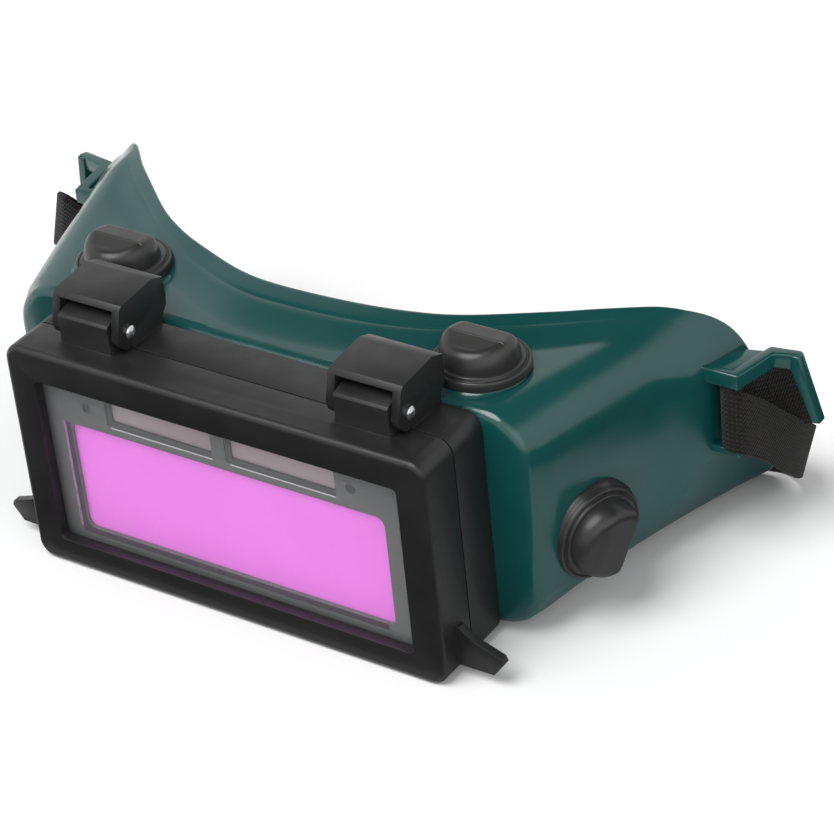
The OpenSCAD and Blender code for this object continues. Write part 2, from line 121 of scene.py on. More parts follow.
def bevel(obj, width_mm, segments=3, angle=35):
    mod = obj.modifiers.new("bevel", "BEVEL")
    mod.width = width_mm * MM
    mod.segments = segments
    mod.limit_method = "ANGLE"
    mod.angle_limit = math.radians(angle)
    mod.use_clamp_overlap = True
    return apply_modifiers(obj)


def shade(obj, angle):
    obj.data.shade_smooth()
    obj.data.set_sharp_from_angle(angle=math.radians(angle))


def join(name, objs):
    """One object out of several, as separate closed shells."""
    bm = bmesh.new()
    for o in objs:
        bm.from_mesh(o.data)
        discard(o)
    mesh = bpy.data.meshes.new(name)
    bm.to_mesh(mesh)
    bm.free()
    obj = bpy.data.objects.new(name, mesh)
    bpy.context.collection.objects.link(obj)
    return obj


def prism(outline, axis, low, high):
    """A closed prism over a polygon. axis 2: polygon in x, y. axis 1: polygon in x, z."""
    n = len(outline)
    verts = []
    for level in (low, high):
        for a, b in outline:
            verts.append((a, b, level) if axis == 2 else (a, level, b))
    faces = [list(range(n)), list(range(n, 2 * n))]
    faces += [[i, (i + 1) % n, n + (i + 1) % n, n + i] for i in range(n)]
    obj = new_object("prism", verts, faces)
    recalc_normals(obj)
    return obj


def lathe(profile, count):
    """A closed ring: the profile is a closed loop of (radius, height), turned about z."""
    n = len(profile)
    verts, faces = [], []
    for k in range(count):
        a = 2 * math.pi * k / count
        verts += [(r * math.cos(a), r * math.sin(a), h) for r, h in profile]
    for k in range(count):
        for i in range(n):
            a, b = k * n + i, k * n + (i + 1) % n
            c, d = (k + 1) % count * n + i, (k + 1) % count * n + (i + 1) % n
            faces.append([a, c, d, b])
    return verts, faces


def rod(radius, low, high, count):
    """A closed round bar along z."""
    turns = [2 * math.pi * k / count for k in range(count)]
    verts = [(radius * math.cos(a), radius * math.sin(a), z) for z in (low, high) for a in turns]
    faces = [list(range(count)), list(range(count, 2 * count))]
    faces += [[i, (i + 1) % count, count + (i + 1) % count, count + i] for i in range(count)]
    return verts, faces


def transformed(points, matrix):
    m = np.array(matrix)
    return np.asarray(points, float) @ m[:3, :3].T + m[:3, 3]


def softened(node, body, width_mm, segments=3):
    """The CAD node's own shape with its edges rounded as a moulding's are."""
    source = NODES[node]
    bm = bmesh.new()
    bm.from_mesh(source.data)
    bmesh.ops.remove_doubles(bm, verts=bm.verts, dist=0.004 * MM)
    bmesh.ops.dissolve_limit(bm, angle_limit=math.radians(1.2), verts=bm.verts, edges=bm.edges)
    mesh = bpy.data.meshes.new(node + "_moulded")
    bm.to_mesh(mesh)
    bm.free()
    obj = bpy.data.objects.new(node + "_moulded", mesh)
    bpy.context.collection.objects.link(obj)
    bevel(obj, width_mm, segments, 30)
    shade(obj, 32)
    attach(obj, body)
    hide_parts(node)
    return obj


# ---------- shroud ----------

FRONT_Y = 24.4
WALL = 2.3
FRONT_W, RIM_W = 145.6, 178.6
TOP, BOTTOM = 31.6, -29
MID = (TOP + BOTTOM) / 2
FOREHEAD_Y, FOREHEAD_R, TEMPLE_Y = 46.5, 112, 108
N_TOP, N_SIDE, N_ARC = 56, 18, 16
N_RING = 2 * N_TOP + 2 * N_SIDE + 4 * N_ARC
SWEEP = 17.0     # distance from the rim over which the wall curls up
CREASE = 5.5     # distance of the moulded crease from the rim
SWEEP_H = 2.4    # rise of the wall at the crease
LIP = 3.9        # rise of the rim over the forehead


def smooth(t):
    t = np.clip(t, 0, 1)
    return t * t * (3 - 2 * t)


def outline(hw, top, low, rt_left, rt_right, rb):
    """A section as an array of [x, z], clockwise from the top left. Every size is a number
    or has one value for each point."""
    size = [np.broadcast_to(np.asarray(v, float), N_RING) for v in
            (hw, top, low, rt_left, rt_right, rb)]
    out = np.zeros((N_RING, 2))
    at = 0

    def part(n):
        nonlocal at
        here = slice(at, at + n)
        at += n
        return here, [v[here] for v in size], np.arange(n) / n

    def arc(sx, sz, start):
        here, (w, t, l, rl, rr, b), u = part(N_ARC)
        r = b if sz < 0 else (rl if sx < 0 else rr)
        a = np.radians(start - 90 * u)
        out[here, 0] = sx * (w - r) + r * np.cos(a)
        out[here, 1] = (t - r if sz > 0 else l + r) + r * np.sin(a)

    here, (w, t, l, rl, rr, b), u = part(N_TOP)
    out[here] = np.stack([-(w - rl) * (1 - u) + (w - rr) * u, t], 1)
    arc(1, 1, 90)
    here, (w, t, l, rl, rr, b), u = part(N_SIDE)
    out[here] = np.stack([w, (t - rr) * (1 - u) + (l + b) * u], 1)
    arc(1, -1, 0)
    here, (w, t, l, rl, rr, b), u = part(N_TOP)
    out[here] = np.stack([(w - b) * (1 - 2 * u), l], 1)
    arc(-1, -1, -90)
    here, (w, t, l, rl, rr, b), u = part(N_SIDE)
    out[here] = np.stack([-w, (l + b) * (1 - u) + (t - rl) * u], 1)
    arc(-1, 1, 180)
    return out


def half_width(s):
    return FRONT_W / 2 + (RIM_W - FRONT_W) / 2 * s


def section(s, inset=0.0):
    low_r = 13 - 8 * s + 18 * s * (1 - s)
    return outline(half_width(s) - inset, TOP + 0.8 * s - inset, BOTTOM + inset,
                   np.maximum(13 - 4.5 * s - inset, 1), np.maximum(13 + s - inset, 1),
                   np.maximum(low_r - inset, 1))


def rim_depth():
    """Depth of the rim at each point of its outline."""
    rim = section(1.0)
    x, z = rim[:, 0], rim[:, 1]
    ax = np.abs(x)
    brow = FOREHEAD_Y + FOREHEAD_R - np.sqrt(FOREHEAD_R ** 2 - np.minimum(ax, 90) ** 2)
    brow += 2.2 * smooth((x - 30) / 25) * smooth((84 - x) / 12) + 3.2 * smooth((-x - 40) / 25)
    brow += 2.1 * smooth((-x - 50) / 20) * smooth((x + 88) / 9)
    brow -= 1.6 * np.exp(-((x + 20) / 16) ** 2)
    temple = TEMPLE_Y - np.where(x > 0, 18, 21) * (z - BOTTOM) / 50
    cheek = 62 + (TEMPLE_Y - 62) * np.sin(np.radians(90 * np.minimum(ax / 86, 1))) ** 2
    rt, rb, top = np.where(x > 0, 14, 8.5), 5, TOP + 0.8
    t_up = np.degrees(np.arccos(np.clip((z - top + rt) / rt, 0, 1))) / 90
    t_low = np.degrees(np.arccos(np.clip((BOTTOM + rb - z) / rb, 0, 1))) / 90
    upper = (1 - t_up ** 3) * brow + t_up ** 3 * temple
    lower = (1 - t_low ** 2) * cheek + t_low ** 2 * temple
    return np.where(z > top - rt, upper, np.where(z < BOTTOM + rb, lower, temple))


RIM_DEPTH = rim_depth()


def curl(to_rim):
    """Rise of the upper wall at a distance from the rim: a slow sweep, then a crease where
    it steepens."""
    sweep = SWEEP_H * np.clip((SWEEP - to_rim) / (SWEEP - CREASE), 0, 1) ** 1.45
    past = np.clip(CREASE - to_rim, 0, None)
    fold = 0.15 * np.exp(-((to_rim - CREASE) / 0.5) ** 2)
    return sweep + (LIP - SWEEP_H) * past / CREASE - fold


def ring(depth_of, inset=0.0, back=0.0):
    """One ring of the wall, inset from its outer face. depth_of gives each point's depth
    behind the front wall from the whole depth there."""
    run = RIM_DEPTH - FRONT_Y
    deep = depth_of(run)
    s = deep / run
    here = section(s, inset)
    x, z = here[:, 0], here[:, 1]
    side = x / half_width(s)
    y = FRONT_Y + deep + back
    k = (z - MID) / (TOP - MID)
    ax = np.abs(x)
    share = 1 - 0.75 * smooth((ax - 62) / 22)
    lift = share * (curl(run - deep) - 1.2 * s ** 2)
    temple = np.where(x < 0, 2.2, 0.6) * s ** 2 * np.minimum(ax / 84, 1) ** 4
    nose = 17 * s ** 2 * np.exp(-(x / 19) ** 2)
    bulge = 1.4 * s * np.maximum(0, 1 - k * k) * side
    crown = 0.4 * np.sin(math.pi * s) * (1 - (x / 75) ** 2).clip(0)
    boss = 3.2 * smooth((y - 62) / 15) * smooth((z + 22) / 16) * smooth((31 - z) / 17) * side
    new_z = z + np.where(k > 0, (lift + temple + crown) * k, nose)
    return np.stack([x + bulge + boss + 0.3 * lift * side, y, new_z], 1)


def set_of_shroud(points):
    """The soft shroud doesn't stand quite square: its left side bows outwards, and its rear
    edge stands higher on the left than on the right."""
    p = np.array(points, float)
    x, y = p[:, 0].copy(), p[:, 1].copy()
    back = np.clip((y - 30) / 58, 0, 1) ** 1.4
    left = np.clip(-x / 86, 0, 1.3)
    right = np.clip(x / 86, 0, 1.3)
    bow = smooth((-x - 30) / 42) * np.clip(1 - ((y - 46) / 52) ** 2, 0, 1)
    p[:, 2] += back * (2.2 * left - 0.6 * right)
    p[:, 2] -= 1.6 * smooth((-x - 76) / 9) * smooth((y - 76) / 10) * smooth((p[:, 2] - 27) / 6)
    p[:, 0] -= 1.4 * back * left + 5.6 * bow
    return p


def shroud_rings():
    face = outline(56.4, 25.4, -25.4, 2.6, 2.6, 2.6)

    def flat(loop, y):
        return np.stack([loop[:, 0], np.full(len(loop), y), loop[:, 1]], 1)

    fillet = 2.8
    rings = [flat(face, FRONT_Y)]
    for share in (0.35, 0.7):
        rings.append(flat(face * (1 - share) + section(0.0, fillet) * share, FRONT_Y))
    for a in np.radians(np.linspace(0, 90, 7)):
        rings.append(ring(lambda run: 0 * run, fillet * (1 - math.sin(a)),
                          fillet * (1 - math.cos(a))))
    walls = [lambda run, t=t: fillet + (run - SWEEP - fillet) * t
             for t in np.linspace(0.06, 0.97, 24)]
    walls += [lambda run, d=d: run - d
              for d in list(np.linspace(SWEEP, CREASE + 0.8, 9)) + [CREASE + 0.35, CREASE,
                        CREASE - 0.3, CREASE - 0.7, CREASE - 1.2, 3.6, 2.8, 2.0, 1.2, 0.5, 0]]
    rings += [ring(w) for w in walls]
    half = WALL / 2
    for a in np.radians(np.linspace(0, 180, 9)[1:-1]):
        rings.append(ring(lambda run: run, half * (1 - math.cos(a)), 0.8 * half * math.sin(a)))
    rings += [ring(w, WALL) for w in walls[::-1][::2]]
    rings.append(ring(lambda run: 0 * run, WALL + 0.2, WALL + 1.6))
    rings.append(ring(lambda run: 0 * run, WALL + 1.2, WALL + 0.3))
    rings.append(flat(face * 0.5 + section(0.0, WALL + 2.5) * 0.5, FRONT_Y + WALL))
    rings.append(flat(face, FRONT_Y + WALL))
    return rings


def tube_of(rings, name):
    """A closed torus-like surface through the rings."""
    n, m = len(rings[0]), len(rings)
    faces = [[j * n + i, (j + 1) % m * n + i, (j + 1) % m * n + (i + 1) % n, j * n + (i + 1) % n]
             for j in range(m) for i in range(n)]
    obj = new_object(name, np.concatenate(rings), faces)
    recalc_normals(obj)
    return obj


def rotation(axis, degrees):
    return Matrix.Rotation(math.radians(degrees), 4, axis)


def vent_matrix(place, side):
    mirror = Matrix.Diagonal((side, 1, 1, 1))
    if place == "top":
        return mirror @ Matrix.Translation((50.9, 40.2, 33.3)) @ rotation("X", -2)
    return (mirror @ Matrix.Translation((78.0, 42.4, -7.6)) @ rotation("Z", -19)
            @ rotation("Y", 94) @ rotation("Z", -26))


VENTS = {"top_left": ("top", -1), "top_right": ("top", 1),
         "low_left": ("low", -1), "low_right": ("low", 1)}


def vent_shift(key):
    """How far the shroud's set moves a vent."""
    centre = np.array([vent_matrix(*VENTS[key]).translation])
    return (set_of_shroud(centre) - centre)[0]


COLLAR = {"top": [(8.4, -4.5), (8.4, -1.2), (8.6, -1.0), (11.4, -1.0), (11.6, -1.1),
                  (11.75, -1.4), (12.1, -1.7), (12.8, -2.0), (13.9, -2.35), (15.4, -2.8),
                  (15.6, -4.5)],
          "low": [(8.4, -4.5), (8.4, -1.2), (8.6, -1.0), (10.3, -1.0), (10.6, -1.2),
                  (10.7, -1.6), (10.7, -4.5)]}


def cut_with(obj, tool):
    mod = obj.modifiers.new("cut", "BOOLEAN")
    mod.operation = "DIFFERENCE"
    mod.solver = "EXACT"
    mod.object = tool
    bpy.context.view_layer.update()
    apply_modifiers(obj)
    discard(tool)
    return obj


VENT_BORE_R = 8.35


def cut_holes(shell):
    cutters = []
    for place, side in VENTS.values():
        verts, faces = rod(VENT_BORE_R, -9, 9, 64)
        o = new_object("cutter", transformed(verts, vent_matrix(place, side)), faces)
        recalc_normals(o)
        cutters.append(o)
    cut_with(shell, join("cutter_all", cutters))


LUG_TOP, LUG_H, LUG_LOW = 21.3, 4.2, -2.2
BAR_X, BAR_Y, BAR_R = 95.3, 80.0, 1.6
LEFT_IN = 2.6      # how far the left lug's bar stands in from the right one's


def lug_parts(bar_x, foot):
    """A lug's plate, web, lower arm, outer post and bar. foot: outer lower edge of the post."""
    plate = LUG_TOP - LUG_H
    b = bar_x
    parts = [
        bevel(prism([(87.5, 76.6), (b + 2.5, 76.6), (b + 5.3, 89.4), (106.8, 91.2),
                     (106.3, 93.6), (b + 3.1, 92.2), (b + 0.3, 82.2), (b - 0.1, 79),
                     (88.1, 79)], 2, plate, LUG_TOP), 0.5),
        bevel(prism([(88, 78), (b + 0.3, 78), (b + 3.5, 91.2), (b - 2.3, 89.5), (89.2, 84)], 2,
                    LUG_TOP - 2.1, LUG_TOP - 0.8), 0.3),
        bevel(prism([(87.5, 78.4), (b + 1.1, 78.4), (b + 1.5, 81.8), (88, 81.8)], 2,
                    LUG_LOW - 1.4, LUG_LOW + 0.6), 0.5),
        bevel(prism([(104.2, LUG_TOP - 0.15), (106.6, LUG_TOP - 0.15), foot,
                     (foot[0] - 2.3, foot[1] - 0.4), (104.2, plate + 0.2)], 1, 90.4, 93.4), 0.5)]
    verts, faces = rod(BAR_R, LUG_LOW, LUG_TOP - 1, 24)
    bar = new_object("bar", np.array(verts) + [bar_x, BAR_Y, 0], faces)
    recalc_normals(bar)
    parts.append(bar)
    return parts


def mirrored(obj, rise):
    obj.data.transform(Matrix.Translation((0, 0, rise * MM)) @ Matrix.Diagonal((-1, 1, 1, 1)))
    obj.data.flip_normals()
    return obj


def make_shroud():
    shell = tube_of(shroud_rings(), "shell")
    cut_holes(shell)
    parts = [shell]
    for place, side in VENTS.values():
        verts, faces = lathe(COLLAR[place], 96)
        o = new_object("collar", transformed(verts, vent_matrix(place, side)), faces)
        recalc_normals(o)
        parts.append(o)
    parts += lug_parts(BAR_X, (112, 3.8))
    parts += [mirrored(o, 1.5) for o in lug_parts(BAR_X - LEFT_IN, (107.6, 9.5))]
    shroud = join("shroud", parts)
    move_points(shroud, set_of_shroud)
    shade(shroud, 38)
    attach(shroud, SHELL_BODY)
    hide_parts("goggle_body")
    return shroud


# ---------- vents ----------

SEAT_FOOT = {"top": [(8.3, -0.9), (11.6, -0.9), (11.95, -0.75), (12.1, -0.4)],
             "low": [(8.3, -0.8), (10.8, -0.8), (10.9, -3.0), (12.3, -3.1), (12.75, -2.8),
                     (12.8, -1.2), (12.7, -0.6), (12.3, -0.1)]}
SEAT_BODY = [(12.12, 0.5), (12.05, 1.25), (11.85, 1.55), (11.6, 1.68), (11.35, 1.62),
             (11.2, 1.42), (11.05, 1.3), (10.85, 1.26), (10.72, 1.35), (10.66, 1.9),
             (10.55, 2.15), (10.3, 2.25), (6.6, 2.25), (6.6, -5.2), (8.1, -5.2), (8.15, -0.95)]
SEAT_H = 2.25
CAP_R, CAP_BACK = 9.8, 4.0
CAP_WALL, CAP_GAP = 1.5, 0.02
TOP_RIGHT_SINK = 0.4     # the top right vent sits a little deeper in the soft wall
# height of the cap above its seat at each distance forward (-) or back (+) of its middle
CAP_PROFILE = {"top": [(-9.8, 4.9), (-6.0, 5.25), (-3.0, 5.85), (-1.9, 6.05), (-1.75, 6.06),
                       (-1.62, 5.86), (-1.5, 5.84), (-1.38, 6.0), (-1.2, 6.02), (4.0, 5.6)],
               "low": [(-9.8, 4.3), (-6.4, 5.0), (-4.6, 5.55), (-3.6, 5.7), (4.0, 5.75)]}


def cap_height(place, y, edge, wall, back_edge):
    """Height of a hooded cap's skin, rounded down to a steep wall at its round edge."""
    py, pz = np.array(CAP_PROFILE[place]).T
    top = np.interp(y, py, pz) - wall
    r = 3.4
    t = np.clip(edge / r, 0, 1)
    h = top * (1 - (1 - t) ** 2.6) ** (1 / 2.2)
    t_back = np.clip(back_edge / 0.8, 0, 1)
    return h - 0.5 * (1 - np.sqrt(1 - (1 - t_back) ** 2))


def cap_solid(place, wall, back, name):
    """The cap's outer skin, or its hollow when wall is more than nothing."""
    r = CAP_R - wall
    rows = [-r * math.cos(math.radians(a)) for a in np.linspace(0, 88, 40)]
    rows = sorted(set([round(v, 4) for v in rows] + [-1.95, -1.8, -1.68, -1.56, -1.44, -1.3]
                      + list(np.linspace(0.3, back - 0.9, 8))
                      + [back - 0.6, back - 0.35, back - 0.15, back]))
    rows = [v for v in rows if -r < v <= back]
    cols = np.sin(np.radians(np.linspace(-90, 90, 61)))
    verts, faces, n = [], [], len(cols)
    for y in rows:
        half = math.sqrt(max(r * r - y * y, 1e-4))
        x = half * cols
        edge = r - np.hypot(x, y)
        h = cap_height(place, np.full(n, y), edge, wall,
                       np.full(n, back - y if wall == 0 else 9))
        verts += [(a, y, c) for a, c in zip(x, np.maximum(h, 0.02))]
        verts += [(a, y, 0.0 if wall == 0 else -1.0) for a in x]
    stride = 2 * n
    for j in range(len(rows) - 1):
        for i in range(n - 1):
            a, b = j * stride + i, (j + 1) * stride + i
            faces.append([a, a + 1, b + 1, b])
            faces.append([a + n, b + n, b + n + 1, a + n + 1])
        for i, flip in ((0, 1), (n - 1, -1)):
            a, b = j * stride + i, (j + 1) * stride + i
            faces.append([a, b, b + n, a + n][::flip])
    for j, flip in ((0, -1), (len(rows) - 1, 1)):
        for i in range(n - 1):
            a = j * stride + i
            faces.append([a, a + 1, a + n + 1, a + n][::flip])
    obj = new_object(name, verts, faces)
    recalc_normals(obj)
    return obj


def make_vent(key):
    place, side = VENTS[key]
    shift = Matrix.Translation(Vector(vent_shift(key)))
    if key == "top_right":
        shift = shift @ Matrix.Translation((0, 0, -TOP_RIGHT_SINK))
    matrix = shift @ vent_matrix(place, side)
    verts, faces = lathe(SEAT_FOOT[place] + SEAT_BODY, 128)
    seat = new_object("seat_" + key, transformed(verts, matrix), faces)
    cap = cut_with(cap_solid(place, 0.0, CAP_BACK, "cap_" + key),
                   cap_solid(place, CAP_WALL, 3 * CAP_BACK, "hollow"))
    move_points(cap, lambda points: transformed(points + [0, 0, SEAT_H + CAP_GAP], matrix))
    for obj, node in ((seat, "vent_seat_" + key), (cap, "vent_cap_" + key)):
        recalc_normals(obj)
        shade(obj, 50)
        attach(obj, SHELL_BODY)
        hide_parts(node)
        paint(obj, MAT["vent"])


# ---------- strap ----------

STRAP_W, STRAP_T = 18.0, 1.4
PER_POINT = 6      # points of the smooth route for each point of the list
BAR_POINT = 9      # the list's point where the webbing has passed round the bar
LOOP_AWAY = (-8.0, -3.0, 6.0)     # how far the left outer run stands away, at its middle
LOOP_Y, LOOP_SPREAD, LOOP_LEAN = 84, 8.5, 16
STRAP_HALF = [
    (102.6, 101, 4.8, -17), (100.9, 98.4, 5, -15), (99, 95, 5.4, -12), (97.2, 91.2, 6.1, -8),
    (95.4, 87.2, 7, -4), (93.5, 83.4, 7.6, -1), (92.5, 80.4, 8, 0), (93.1, 78, 8, 0),
    (95.2, 76.9, 8, 0), (97.4, 78, 7.2, 0), (98.6, 81, 5, 0), (99.9, 86, 0.8, 2),
    (101.1, 91, -4.4, 4), (101.7, 96, -9.3, 8), (101.3, 101, -13.6, 11),
    (99.8, 106, -17.8, 14), (96.8, 110, -21.2, 14), (91.2, 112.3, -22.3, 7),
    (84, 111.4, -22.3, 0), (76, 108.6, -22.3, 0), (67, 104.4, -22.3, 0), (59, 100, -22, 0),
    (52, 96.8, -21, 0), (46, 95.2, -20, 0), (40, 95, -19.4, 0)]


def spline(points, per):
    """Catmull-Rom through the points."""
    p = np.array(points, float)
    p = np.concatenate([2 * p[:1] - p[1:2], p, 2 * p[-1:] - p[-2:-1]])
    out = []
    for i in range(1, len(p) - 2):
        for t in np.arange(per) / per:
            out.append(0.5 * ((2 * p[i]) + (p[i + 1] - p[i - 1]) * t
                              + (2 * p[i - 1] - 5 * p[i] + 4 * p[i + 1] - p[i + 2]) * t ** 2
                              + (3 * p[i] - p[i - 1] - 3 * p[i + 1] + p[i + 2]) * t ** 3))
    out.append(p[-2])
    return np.array(out)


def ribbon(route, width, thickness, name):
    """Webbing along a route of x, y, z and lean, with rounded selvedges. Its place along
    and across the webbing is kept with each point for the weave."""
    pos, lean = route[:, :3], np.radians(route[:, 3])
    head = np.gradient(pos[:, :2], axis=0)
    head /= np.linalg.norm(head, axis=1)[:, None]
    side = np.stack([head[:, 1], -head[:, 0], np.zeros(len(head))], 1)
    up = np.stack([np.sin(lean), np.zeros(len(lean)), np.cos(lean)], 1)
    half_w, half_t = width / 2, thickness / 2
    edge = [(half_t * math.sin(a), half_w - half_t + half_t * math.cos(a))
            for a in np.radians([0, 30, 60, 90])]
    across = [half_w - half_t - (2 * half_w - 2 * half_t) * i / 10 for i in range(1, 10)]
    loop = (edge + [(half_t, v) for v in across]
            + [(t, -v) for t, v in reversed(edge)] + [(-t, -v) for t, v in edge[1:]]
            + [(-half_t, v) for v in reversed(across)]
            + [(-t, v) for t, v in reversed(edge[1:])])
    n, m = len(loop), len(pos)
    verts = np.concatenate([pos[i] + side[i] * np.array([t for t, _ in loop])[:, None]
                            + up[i] * np.array([v for _, v in loop])[:, None]
                            for i in range(m)])
    faces = [[j * n + i, j * n + (i + 1) % n, (j + 1) * n + (i + 1) % n, (j + 1) * n + i]
             for j in range(m - 1) for i in range(n)]
    faces += [list(range(n))[::-1], [(m - 1) * n + i for i in range(n)]]
    obj = new_object(name, verts, faces)
    run = np.concatenate([[0], np.cumsum(np.linalg.norm(np.diff(pos, axis=0), axis=1))])
    weave = np.array([(run[j] * MM, v * MM, t * MM) for j in range(m) for t, v in loop])
    attribute = obj.data.attributes.new("weave", "FLOAT_VECTOR", "POINT")
    attribute.data.foreach_set("vector", weave.ravel().astype(np.float32))
    return obj


def make_strap():
    left = [(-x, y, z, -lean) for x, y, z, lean in reversed(STRAP_HALF)]
    route = spline(list(STRAP_HALF) + left, PER_POINT)
    pos = set_of_shroud(route[:, :3])
    # the set fades out where the webbing leaves the lugs and lies on the table
    fade = np.clip((route[:, 2] + 20) / 16, 0, 1)[:, None]
    pos = route[:, :3] * (1 - fade) + pos * fade
    # on the left the bar stands further in and the outer run stands away in a loop
    index = np.arange(len(route)) - (len(route) - 1 - BAR_POINT * PER_POINT)
    pos[:, 0] += LEFT_IN * smooth(index / (2 * PER_POINT) + 1)
    outer = (index < 0) * (route[:, 0] < 0)
    loop = outer * np.exp(-((route[:, 1] - LOOP_Y) / LOOP_SPREAD) ** 2)
    pos += loop[:, None] * np.array(LOOP_AWAY)
    route[:, 3] += LOOP_LEAN * loop
    strap = ribbon(np.concatenate([pos, route[:, 3:]], 1), STRAP_W, STRAP_T, "webbing")
    recalc_normals(strap)
    shade(strap, 60)
    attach(strap, SHELL_BODY)
    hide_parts("head_strap")
    return strap


# ---------- materials ----------

NOISE_LOW, NOISE_HIGH = 0.3, 0.7     # where nearly all of a noise's values lie


def material(name, color, roughness, **sockets):
    mat = bpy.data.materials.new(name)
    mat.use_nodes = True
    bsdf = bsdf_of(mat)
    bsdf.inputs["Base Color"].default_value = (*color, 1)
    bsdf.inputs["Roughness"].default_value = roughness
    for key, value in sockets.items():
        bsdf.inputs[key.replace("_", " ")].default_value = value
    mat.diffuse_color = (*color, 1)
    return mat


def node(mat, kind, **values):
    n = mat.node_tree.nodes.new(kind)
    for key, value in values.items():
        if key in n.inputs:
            n.inputs[key].default_value = value
        else:
            setattr(n, key, value)
    return n


def link(mat, a, b):
    mat.node_tree.links.new(a, b)


def bsdf_of(mat):
    return mat.node_tree.nodes["Principled BSDF"]


def noise(mat, scale, detail=3.0):
    n = node(mat, "ShaderNodeTexNoise", Scale=scale, Detail=detail, Roughness=0.5)
    link(mat, node(mat, "ShaderNodeTexCoord").outputs["Object"], n.inputs["Vector"])
    return n.outputs["Fac"]


def ramp(mat, fac, stops):
    r = node(mat, "ShaderNodeValToRGB")
    elements = r.color_ramp.elements
    while len(elements) < len(stops):
        elements.new(0.5)
    for e, (pos, color) in zip(elements, stops):
        e.position = pos
        e.color = (*color, 1)
    link(mat, fac, r.inputs["Fac"])
    return r.outputs["Color"]


def to_range(mat, fac, low, high):
    """A noise's usual span, spread from low to high."""
    m = node(mat, "ShaderNodeMapRange")
    m.inputs["From Min"].default_value = NOISE_LOW
    m.inputs["From Max"].default_value = NOISE_HIGH
    m.inputs["To Min"].default_value = low
    m.inputs["To Max"].default_value = high
    link(mat, fac, m.inputs["Value"])
    return m.outputs["Result"]


def add_bump(mat, heights):
    """heights: list of (factor, distance in mm), chained."""
    last = None
    for fac, distance in heights:
        b = node(mat, "ShaderNodeBump", Strength=1.0, Distance=distance * MM)
        link(mat, fac, b.inputs["Height"])
        if last is not None:
            link(mat, last, b.inputs["Normal"])
        last = b.outputs["Normal"]
    link(mat, last, bsdf_of(mat).inputs["Normal"])


def varied(mat, color, spread, scale):
    """Base colour that drifts a little over the surface."""
    dark = tuple(c * (1 - spread) for c in color)
    light = tuple(min(1, c * (1 + spread)) for c in color)
    link(mat, ramp(mat, noise(mat, scale), [(NOISE_LOW, dark), (NOISE_HIGH, light)]),
         bsdf_of(mat).inputs["Base Color"])


def moulded(name, color, roughness, grain_mm, grain_scale, spread=0.12, swell_mm=0.02,
            uneven=1.0):
    """Moulded plastic: fine grain, uneven gloss, a slow drift in colour."""
    mat = material(name, color, roughness, Specular_IOR_Level=0.5)
    varied(mat, color, spread, 45)
    gloss = to_range(mat, noise(mat, 160, 4), roughness - 0.06 * uneven,
                     roughness + 0.08 * uneven)
    link(mat, gloss, bsdf_of(mat).inputs["Roughness"])
    add_bump(mat, [(noise(mat, grain_scale, 2), grain_mm), (noise(mat, 90, 3), swell_mm)])
    return mat


def shroud_material():
    color = (0.0035, 0.058, 0.055)
    mat = material("soft_green_vinyl", color, 0.2, Specular_IOR_Level=0.7, IOR=1.52)
    varied(mat, color, 0.1, 28)
    link(mat, to_range(mat, noise(mat, 70, 4), 0.15, 0.24), bsdf_of(mat).inputs["Roughness"])
    add_bump(mat, [(noise(mat, 1400, 2), 0.002), (noise(mat, 24, 2), 0.12)])
    return mat


def weave_material():
    mat = material("woven_webbing", (0.011, 0.009, 0.0078), 0.85, Specular_IOR_Level=0.25)
    at = node(mat, "ShaderNodeAttribute", attribute_name="weave").outputs["Vector"]
    split = node(mat, "ShaderNodeSeparateXYZ")
    link(mat, at, split.inputs[0])

    def wave(socket, period_mm):
        mul = node(mat, "ShaderNodeMath", operation="MULTIPLY")
        link(mat, socket, mul.inputs[0])
        mul.inputs[1].default_value = 2 * math.pi / (period_mm * MM)
        sine = node(mat, "ShaderNodeMath", operation="SINE")
        link(mat, mul.outputs[0], sine.inputs[0])
        return sine.outputs[0]

    def math_node(kind, a, b):
        n = node(mat, "ShaderNodeMath", operation=kind)
        link(mat, a, n.inputs[0])
        if isinstance(b, float):
            n.inputs[1].default_value = b
        else:
            link(mat, b, n.inputs[1])
        return n.outputs[0]

    warp = wave(split.outputs["Y"], 1.25)
    weft = wave(split.outputs["X"], 0.9)
    crossing = math_node("MULTIPLY", warp, weft)
    height = math_node("ADD", crossing, math_node("MULTIPLY", warp, 0.8))
    fuzz = noise(mat, 2600, 3)
    tone = math_node("ADD", math_node("MULTIPLY", height, 0.18), fuzz)
    link(mat, ramp(mat, tone, [(0.3, (0.0032, 0.0026, 0.0023)), (0.8, (0.013, 0.0108, 0.0095))]),
         bsdf_of(mat).inputs["Base Color"])
    bsdf_of(mat).inputs["Sheen Weight"].default_value = 0.08
    bsdf_of(mat).inputs["Sheen Roughness"].default_value = 0.5
    add_bump(mat, [(height, 0.12), (fuzz, 0.06)])
    return mat


def clear_material(name, tint, alpha, roughness):
    mat = material(name, tint, roughness, Specular_IOR_Level=0.5, Alpha=alpha)
    mat.surface_render_method = "BLENDED"
    link(mat, to_range(mat, noise(mat, 60, 3), roughness, roughness + 0.03),
         bsdf_of(mat).inputs["Roughness"])
    return mat


def paint(obj, mat):
    obj.data.materials.clear()
    obj.data.materials.append(mat)


def repaint_node(name, mat):
    obj = NODES[name]
    for s in obj.material_slots:
        s.material = mat


